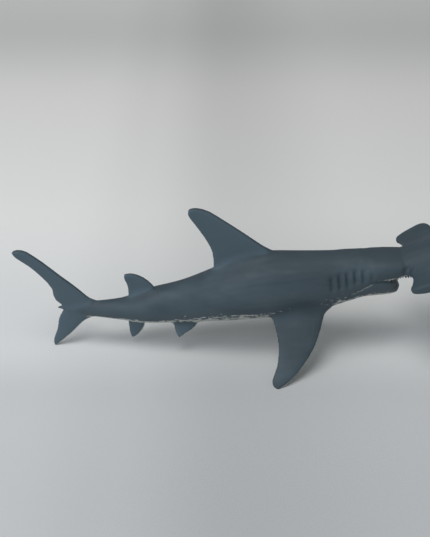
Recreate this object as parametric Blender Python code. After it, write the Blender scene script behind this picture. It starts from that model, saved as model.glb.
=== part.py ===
"""Hammerhead shark figurine, moulded in one piece, standing on its pectoral fin tips and its tail.

Run with: blender --background --python part.py

Metres, +Z up. The shark faces +X, its left side is +Y and the floor is z = 0. The body, the lower jaw,
the hammer and every fin are lofts through rings of points. They are joined with exact unions, and the
mouth, the gill slits, the nostrils and the flat feet are then cut with exact differences.
"""

from __future__ import annotations

import math
from typing import NamedTuple, Sequence

import bmesh
import bpy
import numpy as np
from mathutils import Matrix, Vector


class Station(NamedTuple):
    """One cross section: its place along X, half its width, and its lowest and highest points."""

    along: float
    half_width: float
    belly: float
    back: float


class Edge(NamedTuple):
    """One point of a fin's edge: forward of the fin's anchor, and outward from the body there."""

    forward: float
    outward: float


class Wing(NamedTuple):
    """One lengthwise slice through half of the hammer, at a distance out from the middle."""

    out: float
    rear: float
    front: float
    thickness: float
    lift: float


class Net(NamedTuple):
    """How finely a ball is divided: segments around it, and rings from pole to pole."""

    around: int
    rings: int


class Gill(NamedTuple):
    """One gill slit: its place along X, its angle above the body's widest line and half its length."""

    along: float
    angle: float
    half_length: float


# Directions of the shark's own frame
FORWARD = Vector((1.0, 0.0, 0.0))
LEFT = Vector((0.0, 1.0, 0.0))
UP = Vector((0.0, 0.0, 1.0))

# Body, from the tail's root to the snout
TRUNK = (
    Station(-0.0680, 0.0012, 0.0188, 0.0222),
    Station(-0.0640, 0.0020, 0.0176, 0.0234),
    Station(-0.0590, 0.0028, 0.0167, 0.0239),
    Station(-0.0530, 0.0038, 0.0162, 0.0242),
    Station(-0.0440, 0.0051, 0.0152, 0.0252),
    Station(-0.0300, 0.0080, 0.0139, 0.0304),
    Station(-0.0160, 0.0095, 0.0146, 0.0342),
    Station(-0.0010, 0.0120, 0.0157, 0.0405),
    Station(0.0070, 0.0133, 0.0163, 0.0443),
    Station(0.0160, 0.0141, 0.0172, 0.0477),
    Station(0.0250, 0.0143, 0.0178, 0.0495),
    Station(0.0386, 0.0127, 0.0204, 0.0498),
    Station(0.0520, 0.0114, 0.0233, 0.0501),
    Station(0.0590, 0.0108, 0.0259, 0.0508),
    Station(0.0620, 0.0106, 0.0275, 0.0509),
    Station(0.0650, 0.0104, 0.0308, 0.0509),
    Station(0.0680, 0.0103, 0.0352, 0.0506),
    Station(0.0710, 0.0102, 0.0384, 0.0506),
    Station(0.0770, 0.0099, 0.0396, 0.0509),
    Station(0.0800, 0.0097, 0.0404, 0.0508),
    Station(0.0830, 0.0094, 0.0414, 0.0507),
    Station(0.0880, 0.0088, 0.0432, 0.0505),
    Station(0.0940, 0.0070, 0.0452, 0.0508),
    Station(0.0980, 0.0040, 0.0468, 0.0500),
)
TRUNK_SEGMENTS = 32
TRUNK_RINGS = 54

# Below its widest line the body grows squarer from here to here, into the flat underside of the head
ROUND = 2.0
CHEEK_FULLNESS = 3.0
CHEEK_REAR = 0.0620
CHEEK_FRONT = 0.0700

# Lower jaw, from inside the throat to its blunt front; its rim follows the line of the mouth
JAW = (
    Station(0.0530, 0.0080, 0.0262, 0.0325),
    Station(0.0590, 0.0094, 0.0268, 0.0345),
    Station(0.0620, 0.0100, 0.0277, 0.0362),
    Station(0.0650, 0.0101, 0.0289, 0.0380),
    Station(0.0680, 0.0101, 0.0294, 0.0397),
    Station(0.0710, 0.0099, 0.0295, 0.0405),
    Station(0.0760, 0.0091, 0.0298, 0.0406),
    Station(0.0800, 0.0074, 0.0302, 0.0388),
    Station(0.0821, 0.0053, 0.0309, 0.0364),
    Station(0.0831, 0.0028, 0.0321, 0.0348),
)
JAW_RIM_DEPTH = 0.0016
JAW_RIM_FULLNESS = 4.0
JAW_SEGMENTS = 20
JAW_RINGS = 18
JAW_RIM_WIDTH = 0.0073
MOUTH_CENTRE = Vector((0.0745, 0.0, 0.0402))
MOUTH_HALF_LENGTH = 0.0078
MOUTH_HALF_WIDTH = 0.0066
MOUTH_HALF_HEIGHT = 0.0052
MOUTH_NET = Net(20, 12)

# Hammer, in its own frame: rear and front along the blade, out to each side, lift above its middle
HAMMER_PIVOT = Vector((0.0850, 0.0, 0.0440))
HAMMER_PITCH = math.radians(24.0)
HAMMER = (
    Wing(0.0000, -0.0070, 0.0192, 0.0098, 0.0022),
    Wing(0.0030, -0.0068, 0.0196, 0.0095, 0.0022),
    Wing(0.0065, -0.0046, 0.0186, 0.0073, 0.0022),
    Wing(0.0095, -0.0002, 0.0186, 0.0057, 0.0014),
    Wing(0.0130, 0.0020, 0.0182, 0.0052, 0.0006),
    Wing(0.0165, 0.0014, 0.0177, 0.0049, 0.0001),
    Wing(0.0195, 0.0003, 0.0172, 0.0047, 0.0000),
    Wing(0.0218, -0.0008, 0.0168, 0.0046, 0.0000),
    Wing(0.0232, 0.0008, 0.0164, 0.0046, 0.0000),
    Wing(0.0244, 0.0046, 0.0158, 0.0044, 0.0000),
    Wing(0.0255, 0.0092, 0.0147, 0.0041, 0.0000),
)
HAMMER_TIP = Edge(0.0122, 0.0257)
HAMMER_FULLNESS = 3.8
HAMMER_SEGMENTS = 22
HAMMER_RINGS_A_SIDE = 14

EYE_PLACE = Edge(0.0092, 0.0243)
EYE_RADIUS = 0.0019
EYE_NET = Net(14, 10)
NOSTRIL_PLACE = Edge(0.0172, 0.0185)
NOSTRIL_HALF_LENGTH = 0.0022
NOSTRIL_HALF_WIDTH = 0.0005

# Gill slits
GILLS = (
    Gill(0.0520, math.radians(15.0), 0.0038),
    Gill(0.0555, math.radians(17.0), 0.0041),
    Gill(0.0588, math.radians(17.0), 0.0039),
    Gill(0.0624, math.radians(20.0), 0.0033),
    Gill(0.0659, math.radians(14.0), 0.0029),
    Gill(0.0696, math.radians(0.0), 0.0021),
)
GILL_LEAN = math.radians(7.0)
GILL_HALF_WIDTH = 0.0008
GILL_DEPTH = 0.0010
TANGENT_STEP = math.radians(1.0)
SLIT_NET = Net(8, 8)

# Teeth along the edge of the upper jaw
TOOTH_FIRST = 0.0776
TOOTH_PITCH = 0.0013
TEETH_A_SIDE = 7
TOOTH_ANGLE = math.radians(-40.0)
TOOTH_LENGTH = 0.0009
TOOTH_RADIUS = 0.0005
TOOTH_SEGMENTS = 6
POINT_SHARE = 0.2

# Fins: thickness at the root and near the tip, and the moulded fillet round the root
ROOT_DEPTH = 0.0026
TIP_ROUNDING = 0.0016
FIN_FULLNESS = 3.0
FIN_EDGE_BIAS = 0.22
POINTS_ROUND_FIN = 16
ROWS_LONG_FIN = 18
ROWS_LOWER_LOBE = 14
ROWS_SHORT_FIN = 12
ROWS_SMALL_FIN = 10

DORSAL_ALONG = 0.0140
DORSAL_ROOT_FRONT = 0.0150
DORSAL_ROOT_REAR = -0.0146
DORSAL_LEADING = (
    Edge(0.0108, 0.0044), Edge(0.0062, 0.0077), Edge(-0.0028, 0.0145),
    Edge(-0.0101, 0.0197), Edge(-0.0173, 0.0245), Edge(-0.0224, 0.0257),
)
DORSAL_TRAILING = (
    Edge(-0.0148, -0.0010), Edge(-0.0156, 0.0046), Edge(-0.0180, 0.0098),
    Edge(-0.0221, 0.0164), Edge(-0.0258, 0.0224),
)
DORSAL_TIP = Edge(-0.0255, 0.0250)
DORSAL_THICKNESS = 0.0034
DORSAL_TIP_THICKNESS = 0.0020
DORSAL_FILLET = 0.0046

SECOND_DORSAL_ALONG = -0.0340
SECOND_DORSAL_ROOT_FRONT = 0.0080
SECOND_DORSAL_ROOT_REAR = -0.0056
SECOND_DORSAL_LEADING = (Edge(0.0052, 0.0050), Edge(0.0011, 0.0087), Edge(-0.0034, 0.0104))
SECOND_DORSAL_TRAILING = (Edge(-0.0057, -0.0010), Edge(-0.0058, 0.0038), Edge(-0.0072, 0.0078))
SECOND_DORSAL_TIP = Edge(-0.0071, 0.0099)
SECOND_DORSAL_THICKNESS = 0.0026
SECOND_DORSAL_TIP_THICKNESS = 0.0017
SECOND_DORSAL_FILLET = 0.0022

ANAL_ALONG = -0.0368
ANAL_ROOT_FRONT = 0.0050
ANAL_ROOT_REAR = -0.0036
ANAL_LEADING = (Edge(0.0036, 0.0046), Edge(0.0006, 0.0088))
ANAL_TRAILING = (Edge(-0.0033, 0.0030), Edge(-0.0029, 0.0076))
ANAL_TIP = Edge(-0.0020, 0.0103)
ANAL_THICKNESS = 0.0024
ANAL_TIP_THICKNESS = 0.0016
ANAL_FILLET = 0.0012

PELVIC_ALONG = -0.0130
PELVIC_ANGLE = math.radians(-62.0)
PELVIC_DROOP = math.radians(60.0)
PELVIC_ROOT_FRONT = 0.0066
PELVIC_ROOT_REAR = -0.0060
PELVIC_LEADING = (Edge(0.0034, 0.0026), Edge(-0.0005, 0.0053))
PELVIC_TRAILING = (Edge(-0.0058, 0.0016), Edge(-0.0049, 0.0050))
PELVIC_TIP = Edge(-0.0034, 0.0073)
PELVIC_THICKNESS = 0.0024
PELVIC_TIP_THICKNESS = 0.0015
PELVIC_FILLET = 0.0018

# The pectoral fins droop until their tips meet the floor
PECTORAL_ALONG = 0.0360
PECTORAL_ANGLE = math.radians(-46.0)
PECTORAL_LENGTH = 0.0352
PECTORAL_ROOT_FRONT = 0.0160
PECTORAL_ROOT_REAR = -0.0102
PECTORAL_LEADING = (
    Edge(0.0136, 0.0006), Edge(0.0127, 0.0036), Edge(0.0111, 0.0092), Edge(0.0083, 0.0164),
    Edge(0.0028, 0.0250), Edge(-0.0032, 0.0316),
)
PECTORAL_TRAILING = (
    Edge(-0.0098, 0.0032), Edge(-0.0081, 0.0108), Edge(-0.0075, 0.0168), Edge(-0.0084, 0.0246),
    Edge(-0.0106, 0.0316),
)
PECTORAL_TIP_BACK = -0.0084
PECTORAL_THICKNESS = 0.0036
PECTORAL_TIP_THICKNESS = 0.0022
PECTORAL_FILLET = 0.0042

# Tail: both lobes spring from an anchor at the end of the body
TAIL_ALONG = -0.0640
TAIL_UPPER_ROOT_FRONT = 0.0110
TAIL_UPPER_ROOT_REAR = -0.0050
TAIL_UPPER_LEADING = (
    Edge(0.0055, 0.0063), Edge(0.0007, 0.0115), Edge(-0.0057, 0.0173), Edge(-0.0150, 0.0261),
    Edge(-0.0220, 0.0310),
)
TAIL_UPPER_TRAILING = (
    Edge(-0.0065, 0.0018), Edge(-0.0081, 0.0034), Edge(-0.0096, 0.0052), Edge(-0.0105, 0.0110),
    Edge(-0.0143, 0.0167), Edge(-0.0195, 0.0224), Edge(-0.0255, 0.0274),
)
TAIL_UPPER_TIP = Edge(-0.0267, 0.0298)
TAIL_LOWER_ROOT_FRONT = 0.0094
TAIL_LOWER_ROOT_REAR = -0.0052
TAIL_LOWER_LEADING = (Edge(0.0050, 0.0046), Edge(0.0014, 0.0088), Edge(-0.0039, 0.0146))
TAIL_LOWER_TRAILING = (
    Edge(-0.0066, 0.0019), Edge(-0.0083, 0.0052), Edge(-0.0096, 0.0116), Edge(-0.0118, 0.0178),
)
TAIL_LOWER_TIP_BACK = -0.0116
TAIL_UPPER_THICKNESS = 0.0030
TAIL_UPPER_TIP_THICKNESS = 0.0020
TAIL_UPPER_FILLET = 0.0030
TAIL_LOWER_THICKNESS = 0.0026
TAIL_LOWER_TIP_THICKNESS = 0.0021
TAIL_LOWER_FILLET = 0.0025
TAIL_SPUR_LENGTH = 0.0030
TAIL_SPUR_RADIUS = 0.0011
TAIL_SPUR_LEAN = math.radians(-92.0)
TAIL_SPUR_SEGMENTS = 8
TAIL_SPUR_PLACE = Edge(-0.0072, 0.0005)

# Depth by which each foot passes the floor before it is cut flat
FOOT_BITE = 0.0009
FLOOR_BLOCK = 0.3

WELD = 0.000004
COATING = (0.056, 0.078, 0.093, 1.0)
COATING_ROUGHNESS = 0.5
SHARP_ANGLE = math.radians(40.0)


def through(points: Sequence[Sequence[float]], count: int) -> np.ndarray:
    """Points along a smooth curve through the given ones, closer together towards both its ends."""
    knots = np.array(points, dtype=float)
    steps = np.sqrt(np.linalg.norm(np.diff(knots, axis=0), axis=1))
    times = np.concatenate(([0.0], np.cumsum(steps)))
    slopes = np.gradient(knots, times, axis=0)
    samples = times[-1] * (1.0 - np.cos(np.linspace(0.0, math.pi, count))) / 2.0
    return hermite(times, knots, slopes, samples)


def hermite(times: np.ndarray, knots: np.ndarray, slopes: np.ndarray, samples: np.ndarray) -> np.ndarray:
    """Cubic pieces through the knots, with the given slope at each."""
    piece = np.clip(np.searchsorted(times, samples, side="right") - 1, 0, len(times) - 2)
    span = (times[piece + 1] - times[piece])[:, None]
    t = ((samples - times[piece])[:, None]) / span
    start = (2.0 * t ** 3 - 3.0 * t ** 2 + 1.0) * knots[piece]
    leaving = (t ** 3 - 2.0 * t ** 2 + t) * span * slopes[piece]
    end = (3.0 * t ** 2 - 2.0 * t ** 3) * knots[piece + 1]
    arriving = (t ** 3 - t ** 2) * span * slopes[piece + 1]
    return start + leaving + end + arriving


def fair(rows: Sequence[Sequence[float]], samples: np.ndarray) -> np.ndarray:
    """Values at each sample of a table's first column, faired without overshoot between its rows."""
    table = np.array(rows, dtype=float)
    places = table[:, 0]
    values = table[:, 1:]
    rises = np.diff(values, axis=0) / np.diff(places)[:, None]
    slopes = np.zeros_like(values)
    before = rises[:-1]
    after = rises[1:]
    same_way = before * after > 0.0
    total = np.where(same_way, before + after, 1.0)
    slopes[1:-1] = np.where(same_way, 2.0 * before * after / total, 0.0)
    slopes[0] = rises[0]
    slopes[-1] = rises[-1]
    return hermite(places, values, slopes, samples)


def rounded(value: float, fullness: float) -> float:
    """A sine or cosine pulled out towards a squarer corner; a fullness of 2 leaves it as it is."""
    return math.copysign(abs(value) ** (2.0 / fullness), value)


def trunk_at(along: float) -> Station:
    """The body's cross section at a place along X."""
    half_width, belly, back = fair(TRUNK, np.array([along]))[0]
    return Station(along, float(half_width), float(belly), float(back))


def trunk_point(along: float, angle: float, side: int = 1) -> Vector:
    """A point on the body's skin, at an angle above (or below) its widest line."""
    section = trunk_at(along)
    middle = (section.belly + section.back) / 2.0
    half_height = (section.back - section.belly) / 2.0
    upward = math.sin(angle)
    fullness = ROUND
    if upward < 0.0:
        share = min(max((along - CHEEK_REAR) / (CHEEK_FRONT - CHEEK_REAR), 0.0), 1.0)
        fullness += (CHEEK_FULLNESS - ROUND) * share
    out = side * section.half_width * rounded(math.cos(angle), fullness)
    return Vector((along, out, middle + half_height * rounded(upward, fullness)))


def outside_trunk(point: Vector) -> float:
    """About how far a point lies outside the body's skin; negative inside it."""
    section = trunk_at(min(max(point.x, TRUNK[0].along), TRUNK[-1].along))
    half_height = (section.back - section.belly) / 2.0
    middle = (section.belly + section.back) / 2.0
    ratio = math.hypot(point.y / section.half_width, (point.z - middle) / half_height)
    return (ratio - 1.0) * (section.half_width + half_height) / 2.0


def mesh_object(name: str, mesh: bmesh.types.BMesh, collection: bpy.types.Collection) -> bpy.types.Object:
    """An object in a collection, from a closed mesh whose faces are turned to point outwards."""
    bmesh.ops.recalc_face_normals(mesh, faces=mesh.faces[:])
    data = bpy.data.meshes.new(name)
    mesh.to_mesh(data)
    mesh.free()
    made = bpy.data.objects.new(name, data)
    collection.objects.link(made)
    return made


def loft(name: str, rings: Sequence[Sequence[Vector]], first: Vector, last: Vector,
         collection: bpy.types.Collection) -> bpy.types.Object:
    """A closed skin over rings of equally many points, drawn to a point at each end."""
    mesh = bmesh.new()
    loops = [[mesh.verts.new(point) for point in ring] for ring in rings]
    count = len(loops[0])
    for lower, upper in zip(loops, loops[1:]):
        for here in range(count):
            there = (here + 1) % count
            mesh.faces.new((lower[here], lower[there], upper[there], upper[here]))
    for loop, pole in ((loops[0], first), (loops[-1], last)):
        tip = mesh.verts.new(pole)
        for here in range(count):
            mesh.faces.new((loop[here], loop[(here + 1) % count], tip))
    return mesh_object(name, mesh, collection)


def build_trunk(collection: bpy.types.Collection) -> bpy.types.Object:
    """The body, from the root of the tail to the snout inside the hammer."""
    places = np.linspace(TRUNK[0].along, TRUNK[-1].along, TRUNK_RINGS)
    rings = []
    for along in places:
        turns = [2.0 * math.pi * step / TRUNK_SEGMENTS for step in range(TRUNK_SEGMENTS)]
        rings.append([trunk_point(float(along), turn) for turn in turns])
    tail = trunk_at(TRUNK[0].along)
    nose = trunk_at(TRUNK[-1].along)
    first = Vector((tail.along - tail.half_width, 0.0, (tail.belly + tail.back) / 2.0))
    last = Vector((nose.along + nose.half_width / 2.0, 0.0, (nose.belly + nose.back) / 2.0))
    return loft("trunk", rings, first, last, collection)


def build_jaw(collection: bpy.types.Collection) -> bpy.types.Object:
    """The lower jaw: round below, with a nearly flat rim above."""
    turns = np.linspace(0.0, math.pi / 2.0, JAW_RINGS)
    places = JAW[0].along + (JAW[-1].along - JAW[0].along) * np.sin(turns)
    rings = []
    for along, (half_width, belly, back) in zip(places, fair(JAW, places)):
        middle = back - JAW_RIM_DEPTH * min(1.0, half_width / JAW_RIM_WIDTH)
        ring = []
        for step in range(JAW_SEGMENTS):
            turn = 2.0 * math.pi * step / JAW_SEGMENTS
            upward = math.sin(turn)
            if upward > 0.0:
                out = rounded(math.cos(turn), JAW_RIM_FULLNESS)
                height = (back - middle) * rounded(upward, JAW_RIM_FULLNESS)
            else:
                out = math.cos(turn)
                height = (middle - belly) * upward
            ring.append(Vector((float(along), half_width * out, middle + height)))
        rings.append(ring)
    throat = Vector((JAW[0].along - JAW_RIM_DEPTH, 0.0, (JAW[0].belly + JAW[0].back) / 2.0))
    front = Vector((JAW[-1].along + JAW[-1].half_width / 4.0, 0.0, (JAW[-1].belly + JAW[-1].back) / 2.0))
    return loft("lower_jaw", rings, throat, front, collection)


def hammer_point(forward: float, out: float, lift: float) -> Vector:
    """A point of the hammer's own frame, which leans back about the pivot."""
    return HAMMER_PIVOT + Matrix.Rotation(-HAMMER_PITCH, 3, "Y") @ Vector((forward, out, lift))


def build_hammer(collection: bpy.types.Collection) -> bpy.types.Object:
    """The hammer: slices across the blade, drawn to a rounded tip on each side."""
    reach = HAMMER[-1].out
    turns = np.linspace(0.0, math.pi / 2.0, HAMMER_RINGS_A_SIDE)
    outs = reach * np.sin(turns)
    slices = fair(HAMMER, outs)
    half = []
    for out, (rear, front, thickness, lift) in zip(outs, slices):
        ring = []
        for step in range(HAMMER_SEGMENTS):
            turn = 2.0 * math.pi * step / HAMMER_SEGMENTS
            forward = (rear + front) / 2.0 + (front - rear) / 2.0 * math.cos(turn)
            up = lift + thickness / 2.0 * rounded(math.sin(turn), HAMMER_FULLNESS)
            ring.append((forward, float(out), up))
        half.append(ring)
    right = [[hammer_point(forward, -out, up) for forward, out, up in ring] for ring in reversed(half[1:])]
    left = [[hammer_point(forward, out, up) for forward, out, up in ring] for ring in half]
    tips = [hammer_point(HAMMER_TIP.forward, side * HAMMER_TIP.outward, 0.0) for side in (-1, 1)]
    return loft("hammer", right + left, tips[0], tips[1], collection)


def fillet(clear: float, radius: float) -> float:
    """How much a moulded fillet adds to a fin, at a distance out from the body's skin."""
    if clear >= radius:
        return 0.0
    rise = 1.0 - max(clear, 0.0) / radius
    return radius * (1.0 - math.sqrt(1.0 - rise * rise))


def build_fin(name: str, anchor: Vector, outward: Vector, across: Vector, root: tuple[Edge, Edge],
              leading: Sequence[Edge], trailing: Sequence[Edge], tip: Edge, thickness: float,
              tip_thickness: float, fillet_radius: float, rows: int,
              collection: bpy.types.Collection) -> bpy.types.Object:
    """A fin: bladed sections between its leading and trailing edges, from inside the body to its tip.

    The round body falls away beside the fin, so the fillet is carried down by that much to meet it.
    """
    front_curve = through([root[0], *leading, tip], rows + 1)
    rear_curve = through([root[1], *trailing, tip], rows + 1)
    apex = anchor + FORWARD * tip.forward + outward * tip.outward
    reach = max(tip.outward, fillet_radius)
    body = trunk_at(anchor.x)
    fall = (thickness / 2.0 + fillet_radius) ** 2 / (body.half_width + (body.back - body.belly) / 2.0)
    rings = []
    for front, rear in zip(front_curve[:-1], rear_curve[:-1]):
        share = min(max((front[1] + rear[1]) / 2.0 / reach, 0.0), 1.0)
        middle = anchor + FORWARD * float(front[0] + rear[0]) / 2.0
        middle += outward * float(front[1] + rear[1]) / 2.0
        near_tip = min((apex - middle).length / TIP_ROUNDING, 1.0)
        half = (thickness + (tip_thickness - thickness) * share) / 2.0
        half *= math.sqrt(max(1.0 - (1.0 - near_tip) ** 2, 0.0))
        ring = []
        for step in range(POINTS_ROUND_FIN):
            turn = 2.0 * math.pi * step / POINTS_ROUND_FIN
            ahead = math.cos(turn)
            place = (front + rear) / 2.0 + (front - rear) / 2.0 * ahead
            point = anchor + FORWARD * float(place[0]) + outward * float(place[1])
            added = fillet(outside_trunk(point) + fall, fillet_radius)
            side = rounded(math.sin(turn), FIN_FULLNESS) * (1.0 + FIN_EDGE_BIAS * ahead)
            ring.append(point + across * (half * side + added * math.sin(turn)) + FORWARD * added * ahead)
        rings.append(ring)
    start = anchor + FORWARD * (root[0].forward + root[1].forward) / 2.0
    start += outward * ((root[0].outward + root[1].outward) / 2.0 - ROOT_DEPTH / 4.0)
    return loft(name, rings, start, apex, collection)


def median_root(anchor: Vector, front: float, rear: float, up: int) -> tuple[Edge, Edge]:
    """The buried root of a fin on the middle line, below the skin at both its ends."""
    ends = []
    for forward in (front, rear):
        section = trunk_at(anchor.x + forward)
        skin = section.back if up > 0 else section.belly
        ends.append(Edge(forward, up * (skin - anchor.z) - ROOT_DEPTH))
    return ends[0], ends[1]


def median_anchor(along: float, up: int) -> Vector:
    """The point of the body's back or belly that a fin on the middle line is placed from."""
    section = trunk_at(along)
    return Vector((along, 0.0, section.back if up > 0 else section.belly))


def build_median_fins(collection: bpy.types.Collection) -> list[bpy.types.Object]:
    """Both dorsal fins and the anal fin."""
    made = []
    plans = (
        ("dorsal", DORSAL_ALONG, 1, DORSAL_ROOT_FRONT, DORSAL_ROOT_REAR, DORSAL_LEADING, DORSAL_TRAILING,
         DORSAL_TIP, DORSAL_THICKNESS, DORSAL_TIP_THICKNESS, DORSAL_FILLET, ROWS_LONG_FIN),
        ("second_dorsal", SECOND_DORSAL_ALONG, 1, SECOND_DORSAL_ROOT_FRONT, SECOND_DORSAL_ROOT_REAR,
         SECOND_DORSAL_LEADING, SECOND_DORSAL_TRAILING, SECOND_DORSAL_TIP, SECOND_DORSAL_THICKNESS,
         SECOND_DORSAL_TIP_THICKNESS, SECOND_DORSAL_FILLET, ROWS_SHORT_FIN),
        ("anal", ANAL_ALONG, -1, ANAL_ROOT_FRONT, ANAL_ROOT_REAR, ANAL_LEADING, ANAL_TRAILING, ANAL_TIP,
         ANAL_THICKNESS, ANAL_TIP_THICKNESS, ANAL_FILLET, ROWS_SMALL_FIN),
    )
    for name, along, up, front, rear, leading, trailing, tip, thick, thin, radius, rows in plans:
        anchor = median_anchor(along, up)
        root = median_root(anchor, front, rear, up)
        made.append(build_fin(name, anchor, UP * up, LEFT, root, leading, trailing, tip, thick, thin,
                              radius, rows, collection))
    return made


def build_paired_fins(collection: bpy.types.Collection) -> list[bpy.types.Object]:
    """The pectoral fins, which reach the floor, and the pelvic fins, on both sides."""
    made = []
    for side, hand in ((-1, "right"), (1, "left")):
        anchor = trunk_point(PECTORAL_ALONG, PECTORAL_ANGLE, side)
        droop = math.asin((anchor.z + FOOT_BITE) / PECTORAL_LENGTH)
        outward = Vector((0.0, side * math.cos(droop), -math.sin(droop)))
        across = Vector((0.0, side * math.sin(droop), math.cos(droop)))
        root = (Edge(PECTORAL_ROOT_FRONT, -ROOT_DEPTH), Edge(PECTORAL_ROOT_REAR, -ROOT_DEPTH))
        tip = Edge(PECTORAL_TIP_BACK, PECTORAL_LENGTH)
        made.append(build_fin(f"pectoral_{hand}", anchor, outward, across, root, PECTORAL_LEADING,
                              PECTORAL_TRAILING, tip, PECTORAL_THICKNESS, PECTORAL_TIP_THICKNESS,
                              PECTORAL_FILLET, ROWS_LONG_FIN, collection))
        anchor = trunk_point(PELVIC_ALONG, PELVIC_ANGLE, side)
        outward = Vector((0.0, side * math.cos(PELVIC_DROOP), -math.sin(PELVIC_DROOP)))
        across = Vector((0.0, side * math.sin(PELVIC_DROOP), math.cos(PELVIC_DROOP)))
        root = (Edge(PELVIC_ROOT_FRONT, -ROOT_DEPTH), Edge(PELVIC_ROOT_REAR, -ROOT_DEPTH))
        made.append(build_fin(f"pelvic_{hand}", anchor, outward, across, root, PELVIC_LEADING,
                              PELVIC_TRAILING, PELVIC_TIP, PELVIC_THICKNESS, PELVIC_TIP_THICKNESS,
                              PELVIC_FILLET, ROWS_SMALL_FIN, collection))
    return made


def build_tail(collection: bpy.types.Collection) -> list[bpy.types.Object]:
    """The tail's long upper lobe, its short lower lobe and the spur in the notch between them."""
    section = trunk_at(TAIL_ALONG)
    anchor = Vector((TAIL_ALONG, 0.0, (section.belly + section.back) / 2.0))
    sunk = -ROOT_DEPTH / 2.0
    upper_root = (Edge(TAIL_UPPER_ROOT_FRONT, sunk), Edge(TAIL_UPPER_ROOT_REAR, sunk))
    upper = build_fin("tail_upper", anchor, UP, LEFT, upper_root, TAIL_UPPER_LEADING,
                      TAIL_UPPER_TRAILING, TAIL_UPPER_TIP, TAIL_UPPER_THICKNESS,
                      TAIL_UPPER_TIP_THICKNESS, TAIL_UPPER_FILLET, ROWS_LONG_FIN, collection)
    lower_root = (Edge(TAIL_LOWER_ROOT_FRONT, sunk), Edge(TAIL_LOWER_ROOT_REAR, sunk))
    lower_tip = Edge(TAIL_LOWER_TIP_BACK, anchor.z + FOOT_BITE)
    lower = build_fin("tail_lower", anchor, -UP, LEFT, lower_root, TAIL_LOWER_LEADING,
                      TAIL_LOWER_TRAILING, lower_tip, TAIL_LOWER_THICKNESS,
                      TAIL_LOWER_TIP_THICKNESS, TAIL_LOWER_FILLET, ROWS_LOWER_LOBE, collection)
    mesh = bmesh.new()
    bmesh.ops.create_cone(mesh, cap_ends=True, segments=TAIL_SPUR_SEGMENTS, radius1=TAIL_SPUR_RADIUS,
                          radius2=TAIL_SPUR_RADIUS * POINT_SHARE, depth=TAIL_SPUR_LENGTH)
    spur = mesh_object("tail_spur", mesh, collection)
    place = anchor + Vector((TAIL_SPUR_PLACE.forward, 0.0, TAIL_SPUR_PLACE.outward))
    spur.data.transform(Matrix.Translation(place) @ Matrix.Rotation(TAIL_SPUR_LEAN, 4, "Y"))
    return [upper, lower, spur]


def ball(name: str, matrix: Matrix, net: Net, collection: bpy.types.Collection) -> bpy.types.Object:
    """A unit ball, stretched and placed by a matrix."""
    mesh = bmesh.new()
    bmesh.ops.create_uvsphere(mesh, u_segments=net.around, v_segments=net.rings, radius=1.0)
    made = mesh_object(name, mesh, collection)
    made.data.transform(matrix)
    return made


def build_eyes(collection: bpy.types.Collection) -> list[bpy.types.Object]:
    """A low round eye in the end of each wing of the hammer."""
    made = []
    for side, hand in ((-1, "right"), (1, "left")):
        centre = hammer_point(EYE_PLACE.forward, side * EYE_PLACE.outward, 0.0)
        matrix = Matrix.Translation(centre) @ Matrix.Scale(EYE_RADIUS, 4)
        made.append(ball(f"eye_{hand}", matrix, EYE_NET, collection))
    return made


def build_teeth(collection: bpy.types.Collection) -> list[bpy.types.Object]:
    """Short pointed teeth along both edges of the upper jaw."""
    made = []
    for side in (-1, 1):
        for count in range(TEETH_A_SIDE):
            root = trunk_point(TOOTH_FIRST + count * TOOTH_PITCH, TOOTH_ANGLE, side)
            mesh = bmesh.new()
            bmesh.ops.create_cone(mesh, cap_ends=True, segments=TOOTH_SEGMENTS,
                                  radius1=TOOTH_RADIUS * POINT_SHARE, radius2=TOOTH_RADIUS,
                                  depth=TOOTH_LENGTH)
            tooth = mesh_object(f"tooth_{side}_{count}", mesh, collection)
            tooth.data.transform(Matrix.Translation(root - UP * TOOTH_LENGTH / 4.0))
            made.append(tooth)
    return made


def basis(origin: Vector, x_axis: Vector, y_axis: Vector, z_axis: Vector) -> Matrix:
    """A placing matrix from an origin and three axes, which carry the sizes."""
    matrix = Matrix.Identity(4)
    for column, axis in enumerate((x_axis, y_axis, z_axis, origin)):
        for row in range(3):
            matrix[row][column] = axis[row]
    return matrix


def build_cutters(collection: bpy.types.Collection) -> list[bpy.types.Object]:
    """The hollow of the mouth, the gill slits, the nostrils and the floor."""
    mouth_size = Matrix.Diagonal((MOUTH_HALF_LENGTH, MOUTH_HALF_WIDTH, MOUTH_HALF_HEIGHT, 1.0))
    made = [ball("mouth", Matrix.Translation(MOUTH_CENTRE) @ mouth_size, MOUTH_NET, collection)]
    for side in (-1, 1):
        for gill in GILLS:
            centre = trunk_point(gill.along, gill.angle, side)
            above = trunk_point(gill.along, gill.angle + TANGENT_STEP, side)
            along_slit = (above - centre).normalized()
            along_slit = (along_slit - FORWARD * math.tan(GILL_LEAN)).normalized()
            inward = along_slit.cross(FORWARD).normalized()
            width = inward.cross(along_slit).normalized()
            matrix = basis(centre, width * GILL_HALF_WIDTH, inward * GILL_DEPTH,
                           along_slit * gill.half_length)
            made.append(ball(f"gill_{side}_{gill.along}", matrix, SLIT_NET, collection))
        nostril = hammer_point(NOSTRIL_PLACE.forward, side * NOSTRIL_PLACE.outward, 0.0)
        matrix = Matrix.Translation(nostril) @ Matrix.Diagonal(
            (NOSTRIL_HALF_WIDTH * 2.0, NOSTRIL_HALF_LENGTH, NOSTRIL_HALF_WIDTH, 1.0))
        made.append(ball(f"nostril_{side}", matrix, SLIT_NET, collection))
    mesh = bmesh.new()
    bmesh.ops.create_cube(mesh, size=FLOOR_BLOCK)
    floor = mesh_object("floor", mesh, collection)
    floor.data.transform(Matrix.Translation((0.0, 0.0, -FLOOR_BLOCK / 2.0)))
    made.append(floor)
    return made


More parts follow.
